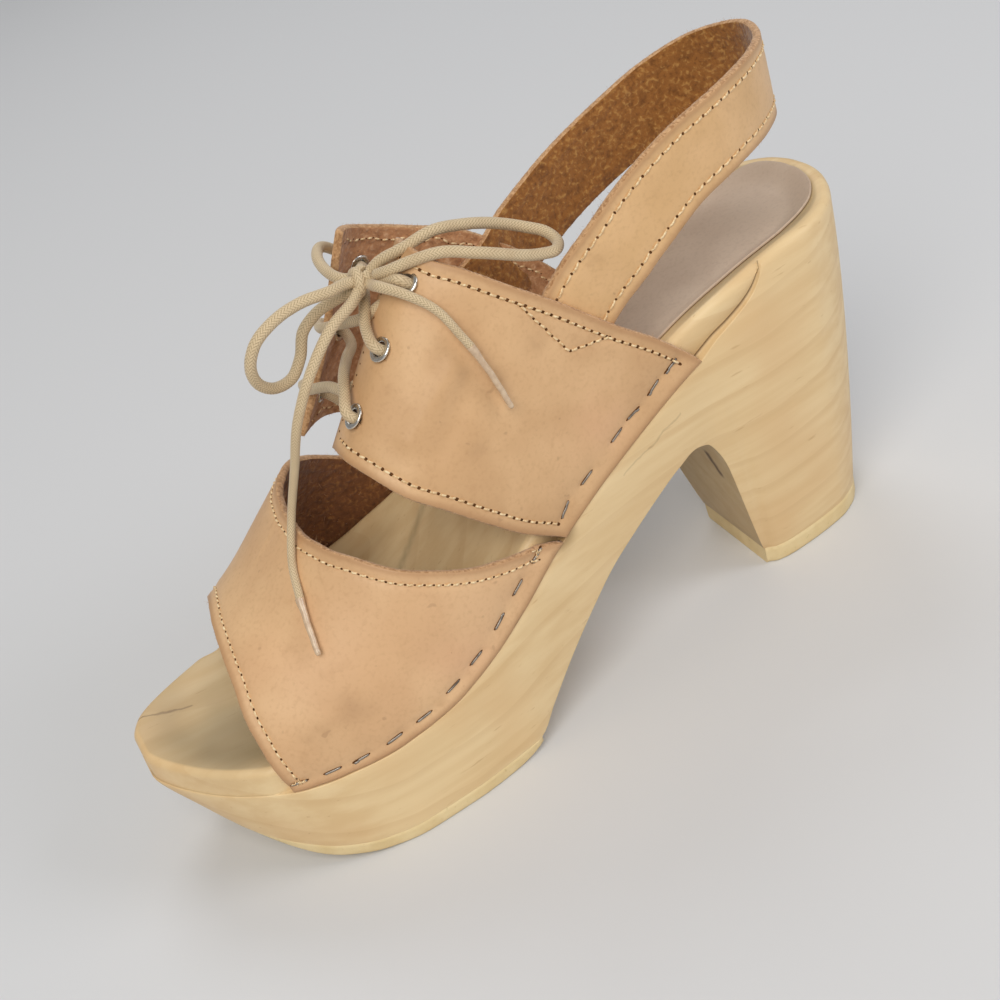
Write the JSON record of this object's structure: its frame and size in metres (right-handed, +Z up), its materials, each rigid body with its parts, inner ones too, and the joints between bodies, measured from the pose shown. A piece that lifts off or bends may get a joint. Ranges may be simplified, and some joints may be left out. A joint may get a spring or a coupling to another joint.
{
  "type": "clog sandal",
  "caption": "Left-foot clog sandal: carved wooden platform sole with block heel, open-toe leather vamp, laced instep band and a sling strap round the heel",
  "frame": {"origin": "on the floor, under the middle of the sandal's length and width", "axes": "the toe points along -X and the heel along +X, +Y is the inner side of the foot, +Z is up"},
  "size_m": [0.2464, 0.0879, 0.1508],
  "materials": {
    "wood": "sanded, clear satin lacquer",
    "rubber": "matte",
    "sock": "matte",
    "leather": "smooth grain side, raw flesh side",
    "nickel": "polished",
    "lace": "braided",
    "aglet": "gloss"
  },
  "bodies": {
    "root": {"sole": "wood", "forefoot_tread": "rubber", "heel_lift": "rubber", "heel_sock": "sock", "vamp": "leather", "instep_band": "leather", "eyelet_outer_1": "nickel", "eyelet_outer_2": "nickel", "eyelet_outer_3": "nickel", "eyelet_inner_1": "nickel", "eyelet_inner_2": "nickel", "eyelet_inner_3": "nickel", "lace_crossing_lower": "lace", "lace_crossing_upper": "lace", "lace_knot": "lace", "lace_loop_back": "lace", "lace_loop_front": "lace", "lace_end_short": "lace", "lace_end_long": "lace", "lace_strand_inner": "lace", "aglet_short": "aglet", "aglet_long": "aglet"}
  },
  "joints": []
}
